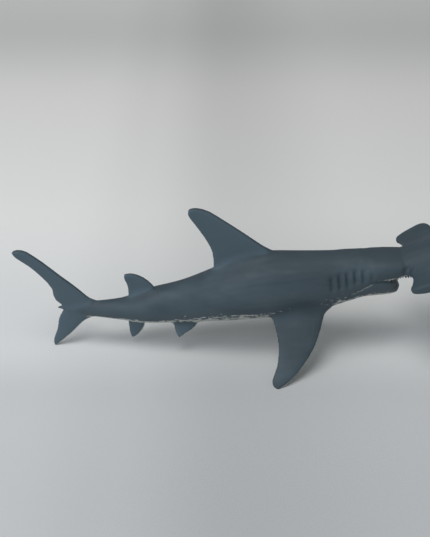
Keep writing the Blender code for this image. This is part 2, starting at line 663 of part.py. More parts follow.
def combine(body: bpy.types.Object, others: Sequence[bpy.types.Object], operation: str) -> None:
    """Join to the body, or cut from it, each other object in turn, and keep the result in its mesh."""
    for other in others:
        modifier = body.modifiers.new(other.name, "BOOLEAN")
        modifier.operation = operation
        modifier.solver = "EXACT"
        modifier.object = other
        depsgraph = bpy.context.evaluated_depsgraph_get()
        joined = bpy.data.meshes.new_from_object(body.evaluated_get(depsgraph))
        body.modifiers.clear()
        mesh = bmesh.new()
        mesh.from_mesh(joined)
        bmesh.ops.remove_doubles(mesh, verts=mesh.verts[:], dist=WELD)
        bmesh.ops.dissolve_degenerate(mesh, dist=WELD, edges=mesh.edges[:])
        mesh.to_mesh(joined)
        mesh.free()
        body.data = joined
        bpy.data.objects.remove(other, do_unlink=True)


def settle(body: bpy.types.Object) -> None:
    """Move the finished shark so that its box stands on the floor, centred on the origin."""
    xs = [vertex.co.x for vertex in body.data.vertices]
    lowest = min(vertex.co.z for vertex in body.data.vertices)
    body.data.transform(Matrix.Translation((-(min(xs) + max(xs)) / 2.0, 0.0, -lowest)))


def coat(body: bpy.types.Object) -> None:
    """The dark slate coat of the moulding."""
    material = bpy.data.materials.new("slate_coat")
    material.use_nodes = True
    shader = material.node_tree.nodes["Principled BSDF"]
    shader.inputs["Base Color"].default_value = COATING
    shader.inputs["Roughness"].default_value = COATING_ROUGHNESS
    shader.inputs["Metallic"].default_value = 0.0
    body.data.materials.clear()
    body.data.materials.append(material)


def new_collection(name: str) -> bpy.types.Collection:
    """A collection in the scene."""
    collection = bpy.data.collections.new(name)
    bpy.context.scene.collection.children.link(collection)
    return collection


def main() -> None:
    """Clear the scene and build the shark."""
    for old in list(bpy.data.objects):
        bpy.data.objects.remove(old, do_unlink=True)
    shark = new_collection("shark_figurine")
    tools = new_collection("construction")
    body = build_trunk(shark)
    body.name = "shark_body"
    solids = [build_jaw(tools), build_hammer(tools), *build_eyes(tools), *build_median_fins(tools),
              *build_paired_fins(tools), *build_tail(tools)]
    combine(body, solids, "UNION")
    combine(body, build_cutters(tools), "DIFFERENCE")
    combine(body, build_teeth(tools), "UNION")
    settle(body)
    body.data.shade_smooth()
    body.data.set_sharp_from_angle(angle=SHARP_ANGLE)
    coat(body)


main()
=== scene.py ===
"""Looks of the hammerhead shark figurine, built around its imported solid.

One smooth skin of moulded vinyl replaces the solid: it is drawn closely over a merged copy of it, faired,
softened at the roots of the fins, and moulded at the gills and the mouth. The small teeth are a row of their
own along each side of the upper jaw.
Metres, +Z up, the shark faces +X and stands on z = 0.
"""
import logging
import math
from dataclasses import dataclass
from enum import Enum
from typing import Any

import bmesh
import bpy
import numpy as np
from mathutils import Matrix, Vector


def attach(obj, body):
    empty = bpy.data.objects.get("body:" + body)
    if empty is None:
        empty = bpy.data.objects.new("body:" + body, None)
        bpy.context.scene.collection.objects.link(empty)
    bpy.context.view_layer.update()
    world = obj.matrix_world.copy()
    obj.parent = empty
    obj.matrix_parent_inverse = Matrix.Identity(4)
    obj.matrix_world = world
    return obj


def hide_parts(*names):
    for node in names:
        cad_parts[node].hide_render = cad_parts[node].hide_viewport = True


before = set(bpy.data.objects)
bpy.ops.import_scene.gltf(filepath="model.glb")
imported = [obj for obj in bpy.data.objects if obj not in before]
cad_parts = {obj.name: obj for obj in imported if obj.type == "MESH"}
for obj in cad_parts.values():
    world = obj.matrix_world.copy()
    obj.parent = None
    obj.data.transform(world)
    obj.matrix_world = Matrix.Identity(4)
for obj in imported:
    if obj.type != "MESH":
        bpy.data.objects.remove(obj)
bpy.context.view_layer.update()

LOG = logging.getLogger("shark_figurine")
MM = 0.001
PHOTO_WIDTH = 430
MIXED_COLOUR = 2  # the number of the Mix node's colour output


class Side(Enum):
    """The two sides of the shark, as signs of Y."""

    RIGHT = -1
    LEFT = 1


class Relief(Enum):
    """Which way a moulded line stands from the skin."""

    GROOVE = -1
    RIDGE = 1


def linear(code: str) -> tuple[float, float, float, float]:
    """Turn an sRGB hex colour into the linear colour that a shader takes.

    Args:
        code: The colour as #RRGGBB.

    Returns:
        Red, green and blue in linear light, and an alpha of 1.
    """
    channels = []
    for at in (1, 3, 5):
        value = int(code[at:at + 2], 16) / 255.0
        channels.append(value / 12.92 if value <= 0.04045 else ((value + 0.055) / 1.055) ** 2.4)
    return channels[0], channels[1], channels[2], 1.0


def add_node(tree: bpy.types.NodeTree, kind: str, inputs: dict[Any, Any] | None = None,
             **settings: Any) -> bpy.types.Node:
    """Add a node with its settings, and link or set its inputs.

    Args:
        tree: The tree that gets the node.
        kind: The node's type name.
        inputs: Values or output sockets, by the identifier, name or number of the input they go to.
        **settings: Properties of the node itself.

    Returns:
        The new node.
    """
    node = tree.nodes.new(kind)
    for name, value in settings.items():
        setattr(node, name, value)
    for name, value in (inputs or {}).items():
        socket = next((item for item in node.inputs if item.identifier == name), None)
        socket = socket or node.inputs[name]
        if isinstance(value, bpy.types.NodeSocket):
            tree.links.new(value, socket)
        else:
            socket.default_value = value
    return node


def new_material(name: str) -> tuple[bpy.types.Material, bpy.types.NodeTree, bpy.types.Node]:
    """Make a material with a bare tree.

    Args:
        name: The material's name.

    Returns:
        The material, its tree and its output node.
    """
    material = bpy.data.materials.new(name)
    material.use_nodes = True
    tree = material.node_tree
    tree.nodes.clear()
    return material, tree, add_node(tree, "ShaderNodeOutputMaterial")


def smooth_step(low: float, high: float, value: np.ndarray) -> np.ndarray:
    """Rise smoothly from 0 to 1 as the value goes from low to high.

    Args:
        low: Where the rise starts.
        high: Where it ends.
        value: The values.

    Returns:
        The height reached at each value.
    """
    share = np.clip((value - low) / (high - low), 0.0, 1.0)
    return share * share * (3.0 - 2.0 * share)


def bell(value: np.ndarray, width: float) -> np.ndarray:
    """A smooth bump of height 1 round zero, of about this half width."""
    return np.exp(-(value / width) ** 2)


@dataclass(frozen=True)
class Flank:
    """The cross sections of the body from the shoulder to the mouth, as the solid has them.

    Each section is an ellipse above its widest line. Below it, the section grows squarer towards the head.
    """

    along: tuple[float, ...] = (
        0.0191, 0.0327, 0.0461, 0.0531, 0.0561, 0.0591, 0.0621, 0.0651, 0.0711, 0.0741, 0.0771)
    half_width: tuple[float, ...] = (
        0.0143, 0.0127, 0.0114, 0.0108, 0.0106, 0.0104, 0.0103, 0.0102, 0.0099, 0.0097, 0.0094)
    belly: tuple[float, ...] = (
        0.0178, 0.0204, 0.0233, 0.0259, 0.0275, 0.0308, 0.0352, 0.0384, 0.0396, 0.0404, 0.0414)
    back: tuple[float, ...] = (
        0.0495, 0.0498, 0.0501, 0.0508, 0.0509, 0.0509, 0.0506, 0.0506, 0.0509, 0.0508, 0.0507)
    round_fullness: float = 2.0
    cheek_fullness: float = 3.0
    cheek_rear: float = 0.0561
    cheek_front: float = 0.0641

    def fair(self, values: tuple[float, ...], along: np.ndarray) -> np.ndarray:
        """Read one of the tables at some places, as cubic pieces without overshoot.

        Args:
            values: One value for each cross section.
            along: Places along X.

        Returns:
            The value at each place.
        """
        places = np.array(self.along)
        given = np.array(values)
        rises = np.diff(given) / np.diff(places)
        before, after = rises[:-1], rises[1:]
        same_way = before * after > 0.0
        slopes = np.zeros_like(given)
        total = np.where(same_way, before + after, 1.0)
        slopes[1:-1] = np.where(same_way, 2.0 * before * after / total, 0.0)
        slopes[0], slopes[-1] = rises[0], rises[-1]
        inside = np.clip(along, places[0], places[-1])
        piece = np.clip(np.searchsorted(places, inside, side="right") - 1, 0, len(places) - 2)
        span = places[piece + 1] - places[piece]
        t = (inside - places[piece]) / span
        falling = 2.0 * t ** 3 - 3.0 * t ** 2 + 1.0
        rising = 3.0 * t ** 2 - 2.0 * t ** 3
        start = falling * given[piece] + rising * given[piece + 1]
        leaving = (t ** 3 - 2.0 * t ** 2 + t) * slopes[piece]
        arriving = (t ** 3 - t ** 2) * slopes[piece + 1]
        return start + span * (leaving + arriving)

    def section(self, along: np.ndarray) -> tuple[np.ndarray, np.ndarray, np.ndarray]:
        """Find the cross sections at some places.

        Args:
            along: Places along X.

        Returns:
            Half the width, half the height and the height of the middle there.
        """
        belly = self.fair(self.belly, along)
        back = self.fair(self.back, along)
        return self.fair(self.half_width, along), (back - belly) / 2.0, (back + belly) / 2.0

    def polar(self, points: np.ndarray) -> tuple[np.ndarray, np.ndarray]:
        """Place points by their turn round the body.

        Args:
            points: Points in rows.

        Returns:
            The angle above the widest line, and how far out the point is as a share of the section.
        """
        width, height, middle = self.section(points[:, 0])
        out = np.abs(points[:, 1]) / width
        up = (points[:, 2] - middle) / height
        share = np.clip((points[:, 0] - self.cheek_rear) / (self.cheek_front - self.cheek_rear), 0.0, 1.0)
        squarer = self.round_fullness + (self.cheek_fullness - self.round_fullness) * share
        fullness = np.where(up < 0.0, squarer, self.round_fullness)
        reach = (out ** fullness + np.abs(up) ** fullness) ** (1.0 / fullness)
        return np.arctan2(up, out), reach


@dataclass(frozen=True)
class GillSlit:
    """One gill slit: the place of its middle, half its length, and how strongly it is cut."""

    along: float
    height: float
    half_length: float
    strength: float


@dataclass(frozen=True)
class GillRow:
    """The gill slits of one side: soft troughs with a raised flap between each two."""

    slits: tuple[GillSlit, ...] = (
        GillSlit(0.0461, 0.0400, 0.0045, 1.0),
        GillSlit(0.0496, 0.0412, 0.0047, 1.05),
        GillSlit(0.0529, 0.0420, 0.0045, 0.95),
        GillSlit(0.0565, 0.0433, 0.0040, 1.0),
        GillSlit(0.0600, 0.0437, 0.0036, 0.9),
        GillSlit(0.0637, 0.0438, 0.0024, 0.4),
    )
    lean: float = math.tan(math.radians(6.0))
    depth: float = 0.82 * MM
    half_width: float = 1.18 * MM
    flap_height: float = 0.28 * MM
    flap_offset: float = 1.75 * MM
    flap_width: float = 0.85 * MM
    zone_rear: float = 0.0425
    zone_front: float = 0.0660
    zone_fade: float = 0.0022
    low_turns: tuple[float, float] = (math.radians(-26.0), math.radians(-16.0))
    high_turns: tuple[float, float] = (math.radians(60.0), math.radians(75.0))
    full_share: float = 0.45

    def weight(self, points: np.ndarray, turn: np.ndarray) -> np.ndarray:
        """Tell how fully each point belongs to the gill zone.

        Args:
            points: Points on the skin.
            turn: Their angles above the widest line.

        Returns:
            Shares from 0 to 1.
        """
        ahead = smooth_step(self.zone_rear - self.zone_fade, self.zone_rear, points[:, 0])
        ahead *= 1.0 - smooth_step(self.zone_front, self.zone_front + self.zone_fade, points[:, 0])
        around = smooth_step(*self.low_turns, turn)
        around *= 1.0 - smooth_step(*self.high_turns, turn)
        return ahead * around

    def offset(self, points: np.ndarray) -> np.ndarray:
        """Work out how far the skin stands out or in.

        Args:
            points: Points on the skin.

        Returns:
            The distance outwards at each point, in metres.
        """
        total = np.zeros(len(points))
        for slit in self.slits:
            above = points[:, 2] - slit.height
            across = points[:, 0] - slit.along + self.lean * above
            share = np.clip(np.abs(above) / slit.half_length, 0.0, 1.0)
            ends = 1.0 - smooth_step(self.full_share, 1.0, share)
            flap = bell(across - self.flap_offset, self.flap_width)
            total -= slit.strength * self.depth * ends * bell(across, self.half_width)
            total += slit.strength * self.flap_height * ends * flap
        return total


@dataclass(frozen=True)
class SideLine:
    """A moulded line that runs along both flanks, given by its course in X and Z."""

    course: tuple[tuple[float, float], ...]
    height: float
    half_width: float
    relief: Relief
    full_from: float = 0.2
    full_to: float = 0.7

    def distance(self, points: np.ndarray) -> tuple[np.ndarray, np.ndarray]:
        """Find the way from each point to the line.

        Args:
            points: Points on the skin.

        Returns:
            The distance above the line, in X and Z alone, and the share of the line's length reached.
        """
        course = np.array(self.course)
        steps = np.linalg.norm(np.diff(course, axis=0), axis=1)
        reached = np.concatenate(([0.0], np.cumsum(steps))) / steps.sum()
        best = np.full(len(points), 1.0)
        signed = np.full(len(points), 1.0)
        share = np.zeros(len(points))
        flat = points[:, (0, 2)]
        for number, (start, end) in enumerate(zip(course, course[1:])):
            way = end - start
            part = np.clip((flat - start) @ way / (way @ way), 0.0, 1.0)
            gap = flat - (start + part[:, None] * way)
            size = np.linalg.norm(gap, axis=1)
            nearer = size < best
            best = np.where(nearer, size, best)
            signed = np.where(nearer, np.copysign(size, gap[:, 1]), signed)
            here = reached[number] + part * (reached[number + 1] - reached[number])
            share = np.where(nearer, here, share)
        return signed, share

    def offset(self, points: np.ndarray) -> np.ndarray:
        """Work out how far the line lifts or sinks the skin.

        Args:
            points: Points on the skin.

        Returns:
            The distance outwards at each point, in metres.
        """
        signed, share = self.distance(points)
        ends = smooth_step(0.0, self.full_from, share) * (1.0 - smooth_step(self.full_to, 1.0, share))
        return self.relief.value * self.height * ends * bell(signed, self.half_width)


@dataclass(frozen=True)
class RootWeb:
    """A thin web that rounds out the corner between a fin's front edge and the body, in the middle plane.

    Its free edge is a curve from the body to the fin that hugs the corner. Places are given in X and Z.
    """

    corner: tuple[float, float]
    on_body: tuple[float, float]
    on_fin: tuple[float, float]
    half_width: float = 1.3 * MM
    edge_half_width: float = 0.45 * MM
    steps: int = 12

    def add_to(self, mesh: bmesh.types.BMesh) -> None:
        """Add the web to a mesh, as a closed body of its own.

        Args:
            mesh: The mesh.
        """
        corner, body, fin = (Vector(place) for place in (self.corner, self.on_body, self.on_fin))
        inner = corner + (corner - (body + fin) / 2.0).normalized() * self.half_width
        outline = [(inner, self.half_width)]
        for number in range(self.steps + 1):
            t = number / self.steps
            point = body * (1.0 - t) ** 2 + corner * 2.0 * t * (1.0 - t) + fin * t ** 2
            outline.append((point, self.edge_half_width))
        right, left = (
            [mesh.verts.new((point.x, side.value * width, point.y)) for point, width in outline]
            for side in Side)
        faces = [mesh.faces.new(right), mesh.faces.new(reversed(left))]
        for number in range(len(outline)):
            after = (number + 1) % len(outline)
            faces.append(mesh.faces.new((right[after], right[number], left[number], left[after])))
        bmesh.ops.recalc_face_normals(mesh, faces=faces)


@dataclass(frozen=True)
class TipPad:
    """A flat oval pad in the middle plane that gives a fin's tip its blunt end."""

    centre: tuple[float, float]
    half_length: float
    half_height: float
    half_width: float
    around: int = 24
    rings: int = 16

    def add_to(self, mesh: bmesh.types.BMesh) -> None:
        """Add the pad to a mesh, as a closed body of its own.

        Args:
            mesh: The mesh.
        """
        ball = bmesh.ops.create_uvsphere(mesh, u_segments=self.around, v_segments=self.rings, radius=1.0)
        along, height = self.centre
        for vert in ball["verts"]:
            out = vert.co * Vector((self.half_length, self.half_width, self.half_height))
            vert.co = out + Vector((along, 0.0, height))


@dataclass(frozen=True)
class Pit:
    """A small round hollow, the same on both sides of the head."""

    centre: tuple[float, float, float]
    radius: float
    depth: float

    def distance(self, points: np.ndarray) -> np.ndarray:
        """How far each point is from the middle of the pit on its own side."""
        mirrored = np.stack((points[:, 0], np.abs(points[:, 1]), points[:, 2]), axis=1)
        return np.linalg.norm(mirrored - np.array(self.centre), axis=1)


@dataclass(frozen=True)
class SprayedVinyl:
    """Soft PVC, injection moulded in an off-white, with a slate satin coat sprayed on from above.

    The coat is thin and even, so the eye sees one dark colour with soft mottling and a dull, broad sheen.
    On the back it is painted darker than on the flank, as painted shade, and below the flank it ends in a
    ragged, speckled edge. How wide the real specks are can't be read from the photo, which has about 0.45 mm
    to a pixel. They are drawn at speck_mm, two pixels, because much finer ones would not show.
    """

    coat: str = "#44535B"
    coat_thin: str = "#4C5A61"
    # Darkest tone of the ramp: dark mottle, and the painted shade on the back.
    dark_mottle_and_top_shade: str = "#38464E"
    vinyl: str = "#B6B8B2"
    # Pale grey for the rubbed ring at the jaw's end and for the pale line along the lip and the jaw's rim.
    rubbed: str = "#77807C"
    # Painted sheen: a lighter, bluer tone laid on the fins where light would catch them.
    fin_sheen_colour: str = "#4F616B"
    edge_at: float = 0.55
    edge_blur: float = 0.045
    streak_share: float = 0.26
    speck_share: float = 0.75
    fleck_share: float = 1.6
    worn_share: float = 0.5
    rub_streak: float = 0.5
    rub_speck: float = 0.9
    rub_levels: tuple[float, float] = (1.12, 1.35)
    # Painted shade: points that face up get a darker tone, so the back reads darker than the flank.
    top_shade_facing: tuple[float, float] = (-0.85, 0.1)
    top_shade_share: float = 0.28
    tone_levels: tuple[float, float, float] = (0.2, 0.45, 0.66)
    roughness: float = 0.62
    roughness_drift: tuple[float, float] = (-0.05, 0.07)
    ior: float = 1.46
    along_stretch: float = 0.4
    mottle_mm: float = 11.0
    streak_mm: float = 3.2
    speck_mm: float = 0.9
    peel_mm: float = 0.55
    noise_roughness: float = 0.55
    peel_depth: float = 0.05 * MM
    wave_depth: float = 0.14 * MM

    def make(self, name: str) -> bpy.types.Material:
        """Build the material.

        Args:
            name: The material's name.

        Returns:
            The material; it reads the skin's attributes under_side, rub, worn, fleck and fin. The fin
            attribute lays a painted sheen on the fins.
        """
        material, tree, output = new_material(name)
        place = add_node(tree, "ShaderNodeTexCoord").outputs["Object"]
        under, rub_and_pale_line, worn_edge, fleck, fin = (
            add_node(tree, "ShaderNodeAttribute", attribute_name=attribute).outputs["Fac"]
            for attribute in ("under_side", "rub_and_pale_line", "worn", "fleck", "fin"))
        stretched = add_node(tree, "ShaderNodeMapping", {
            "Vector": place, "Scale": (self.along_stretch, 1.0, 1.0)}).outputs[0]
        mottle, streak, speck, peel = (
            add_node(tree, "ShaderNodeTexNoise", {
                "Vector": where, "Scale": 1.0 / (size_mm * MM), "Detail": layers,
                "Roughness": self.noise_roughness}).outputs["Fac"]
            for where, size_mm, layers in (
                (stretched, self.mottle_mm, 3.0), (stretched, self.streak_mm, 3.0),
                (stretched, self.speck_mm, 4.0), (place, self.peel_mm, 2.0)))

        spread = add_node(tree, "ShaderNodeMath", {0: speck, 1: 0.5}, operation="SUBTRACT").outputs[0]
        flecks = add_node(tree, "ShaderNodeMath", {0: spread, 1: fleck}, operation="MULTIPLY").outputs[0]
        # Painted shade: the more a point faces up, the lower its tone, towards the darkest colour.
        facing_up, facing_out = self.top_shade_facing
        top_shade = add_node(tree, "ShaderNodeMapRange", {
            "Value": under, "From Min": facing_up, "From Max": facing_out,
            "To Min": self.top_shade_share, "To Max": 0.0}, clamp=True).outputs[0]
        sums = []
        for parts in (
                ((under, 1.0), (streak, self.streak_share), (speck, self.speck_share),
                 (worn_edge, self.worn_share), (flecks, self.fleck_share)),
                ((rub_and_pale_line, 1.0), (streak, self.rub_streak), (speck, self.rub_speck)),
                ((mottle, 1.0), (top_shade, -1.0))):
            total: Any = 0.0
            for socket, share in parts:
                total = add_node(tree, "ShaderNodeMath", {0: socket, 1: share, 2: total},
                                 operation="MULTIPLY_ADD").outputs[0]
            sums.append(total)
        # The second sum holds the rubbed ring at the jaw's end and the pale line along the mouth.
        ragged, worn, tone_at = sums

        level = self.edge_at + (self.streak_share + self.speck_share) / 2.0
        bare = add_node(tree, "ShaderNodeMapRange", {
            "Value": ragged, "From Min": level - self.edge_blur,
            "From Max": level + self.edge_blur}, clamp=True).outputs[0]
        rub_least, rub_most = self.rub_levels
        rubbed = add_node(tree, "ShaderNodeMapRange", {
            "Value": worn, "From Min": rub_least, "From Max": rub_most}, clamp=True).outputs[0]

        # The ramp runs from the darkest colour, reached by dark mottle and by the painted shade on the back,
        # to the lightest.
        tone = add_node(tree, "ShaderNodeValToRGB", {"Fac": tone_at})
        ramp = tone.color_ramp
        darkest_at, middle_at, thin_at = self.tone_levels
        ramp.elements[0].position = darkest_at
        ramp.elements[0].color = linear(self.dark_mottle_and_top_shade)
        ramp.elements[1].position = thin_at
        ramp.elements[1].color = linear(self.coat_thin)
        ramp.elements.new(middle_at).color = linear(self.coat)
        colour = tone.outputs["Color"]
        # Painted sheen on the fins first, then the rubbed ring and the pale line along the mouth, then the
        # bare vinyl below the coat's edge.
        for share, code in ((fin, self.fin_sheen_colour), (rubbed, self.rubbed), (bare, self.vinyl)):
            colour = add_node(tree, "ShaderNodeMix", {
                "Factor_Float": share, "A_Color": colour, "B_Color": linear(code)},
                data_type="RGBA").outputs[MIXED_COLOUR]

        smoother, rougher = self.roughness_drift
        rough = add_node(tree, "ShaderNodeMapRange", {
            "Value": streak, "From Min": 0.25, "From Max": 0.75,
            "To Min": self.roughness + smoother, "To Max": self.roughness + rougher}).outputs[0]
        bump = add_node(tree, "ShaderNodeBump", {
            "Height": peel, "Strength": 0.25, "Distance": self.peel_depth}).outputs[0]
        waves = add_node(tree, "ShaderNodeBump", {
            "Height": streak, "Strength": 0.5, "Distance": self.wave_depth, "Normal": bump}).outputs[0]
        shader = add_node(tree, "ShaderNodeBsdfPrincipled", {
            "Base Color": colour, "Roughness": rough, "IOR": self.ior, "Normal": waves})
        tree.links.new(shader.outputs[0], output.inputs["Surface"])
        return material


@dataclass(frozen=True)
class SheetCloth:
    """A plain pale cotton sheet under and behind the shark, with a weave of about a millimetre."""

    # Painted light and shade: darker towards the camera and in the middle, lighter far back, on the left and
    # where the head's shadow falls.
    away: tuple[tuple[float, str], ...] = (
        (-0.12, "#CDCECE"), (-0.04, "#D3D4D4"), (0.00, "#E4E5E4"), (0.14, "#FAF9F6"), (0.30, "#FDFBF7"),
        (0.44, "#EEEDEA"), (0.55, "#FBFAF6"))
    across: tuple[tuple[float, str], ...] = (
        (-0.09, "#FFFFFF"), (-0.05, "#F8F8F8"), (0.00, "#EAEAEA"), (0.09, "#FBFBFB"))
    weave_mm: float = 1.0
    weave_depth: float = 0.06 * MM

    @staticmethod
    def drift(tree: bpy.types.NodeTree, place: bpy.types.NodeSocket,
              stops: tuple[tuple[float, str], ...]) -> bpy.types.NodeSocket:
        """Let the tone drift along one direction.

        Args:
            tree: The material's tree.
            place: The coordinate, in metres.
            stops: Places and the tones there, in order.

        Returns:
            The tone's socket.
        """
        first, last = stops[0][0], stops[-1][0]
        share = add_node(tree, "ShaderNodeMapRange", {
            "Value": place, "From Min": first, "From Max": last}, clamp=True).outputs[0]
        node = add_node(tree, "ShaderNodeValToRGB", {"Fac": share})
        node.color_ramp.interpolation = "EASE"
        elements = node.color_ramp.elements
        for _ in stops[2:]:
            elements.new(0.5)
        for element, (at, _) in zip(elements, stops):
            element.position = (at - first) / (last - first)
        for element, (_, code) in zip(elements, stops):
            element.color = linear(code)
        return node.outputs["Color"]

    def make(self, name: str) -> bpy.types.Material:
        """Build the material, whose tone drifts from front to back and from side to side as painted light
        and shade.

        Args:
            name: The material's name.

        Returns:
            The material.
        """
        material, tree, output = new_material(name)
        place = add_node(tree, "ShaderNodeTexCoord").outputs["Object"]
        apart = add_node(tree, "ShaderNodeSeparateXYZ", {0: place})
        colour = add_node(tree, "ShaderNodeMix", {
            "Factor_Float": 1.0, "A_Color": self.drift(tree, apart.outputs["Y"], self.away),
            "B_Color": self.drift(tree, apart.outputs["X"], self.across)},
            data_type="RGBA", blend_type="MULTIPLY").outputs[MIXED_COLOUR]
        turns = math.tau / (self.weave_mm * MM)
        threads = []
        for axis in ("X", "Y"):
            angle = add_node(tree, "ShaderNodeMath", {
                0: apart.outputs[axis], 1: turns}, operation="MULTIPLY").outputs[0]
            threads.append(add_node(tree, "ShaderNodeMath", {0: angle}, operation="SINE").outputs[0])
        weave = add_node(tree, "ShaderNodeMath", {
            0: threads[0], 1: threads[1]}, operation="MULTIPLY").outputs[0]
        bump = add_node(tree, "ShaderNodeBump", {
            "Height": weave, "Strength": 0.4, "Distance": self.weave_depth}).outputs[0]
        shader = add_node(tree, "ShaderNodeBsdfPrincipled", {
            "Base Color": colour, "Roughness": 0.95, "Specular IOR Level": 0.1, "Normal": bump})
        tree.links.new(shader.outputs[0], output.inputs["Surface"])
        return material


@dataclass(frozen=True)
class CoatMap:
    """Where the coat ends, is flecked, rubbed or worn through, where a pale line runs along the mouth, and
    where the fins get a painted sheen, as ranges and shares.

    Places run along X, heights up from the floor and reaches out from the middle plane, all in metres.
    Bends are in 1/m, and facings are parts of the surface's direction.
    """

    facing_rounds: int = 6
    edge_rounds: int = 2
    edge_bends: tuple[float, float] = (180.0, 520.0)
    middle_reach: float = 12.5 * MM
    throat_at: float = 0.0500
    throat_length: float = 7.0 * MM
    throat_coated: float = 0.04
    belly_at: float = 0.0020
    belly_length: float = 26.0 * MM
    belly_bare: float = 0.03
    belly_flecks: float = 0.8
    upright_heights: tuple[float, float] = (0.0240, 0.0260)
    upright_reach: tuple[float, float] = (2.0 * MM, 3.0 * MM)
    upright_coated: float = 0.9
    flank_reach: float = 6.0 * MM
    # A pale line along the lip and the jaw's rim, beside the rubbed ring round the pit at the jaw's end.
    pale_line_share: float = 0.66
    line_full: tuple[float, float] = (0.15, 0.8)
    pit_rub: float = 0.42
    worn_heights: tuple[float, float] = (0.010, 0.022)
    worn_facing: tuple[float, float] = (0.1, 0.4)
    # Painted sheen on the fins: thin parts behind the head and the fins below the tail, where they stand
    # upright.
    fin_sheen_reach: tuple[float, float] = (1.6 * MM, 2.6 * MM)
    hanging_sheen_heights: tuple[float, float] = (0.0150, 0.0172)
    fin_sheen_facing: tuple[float, float] = (0.35, 0.7)


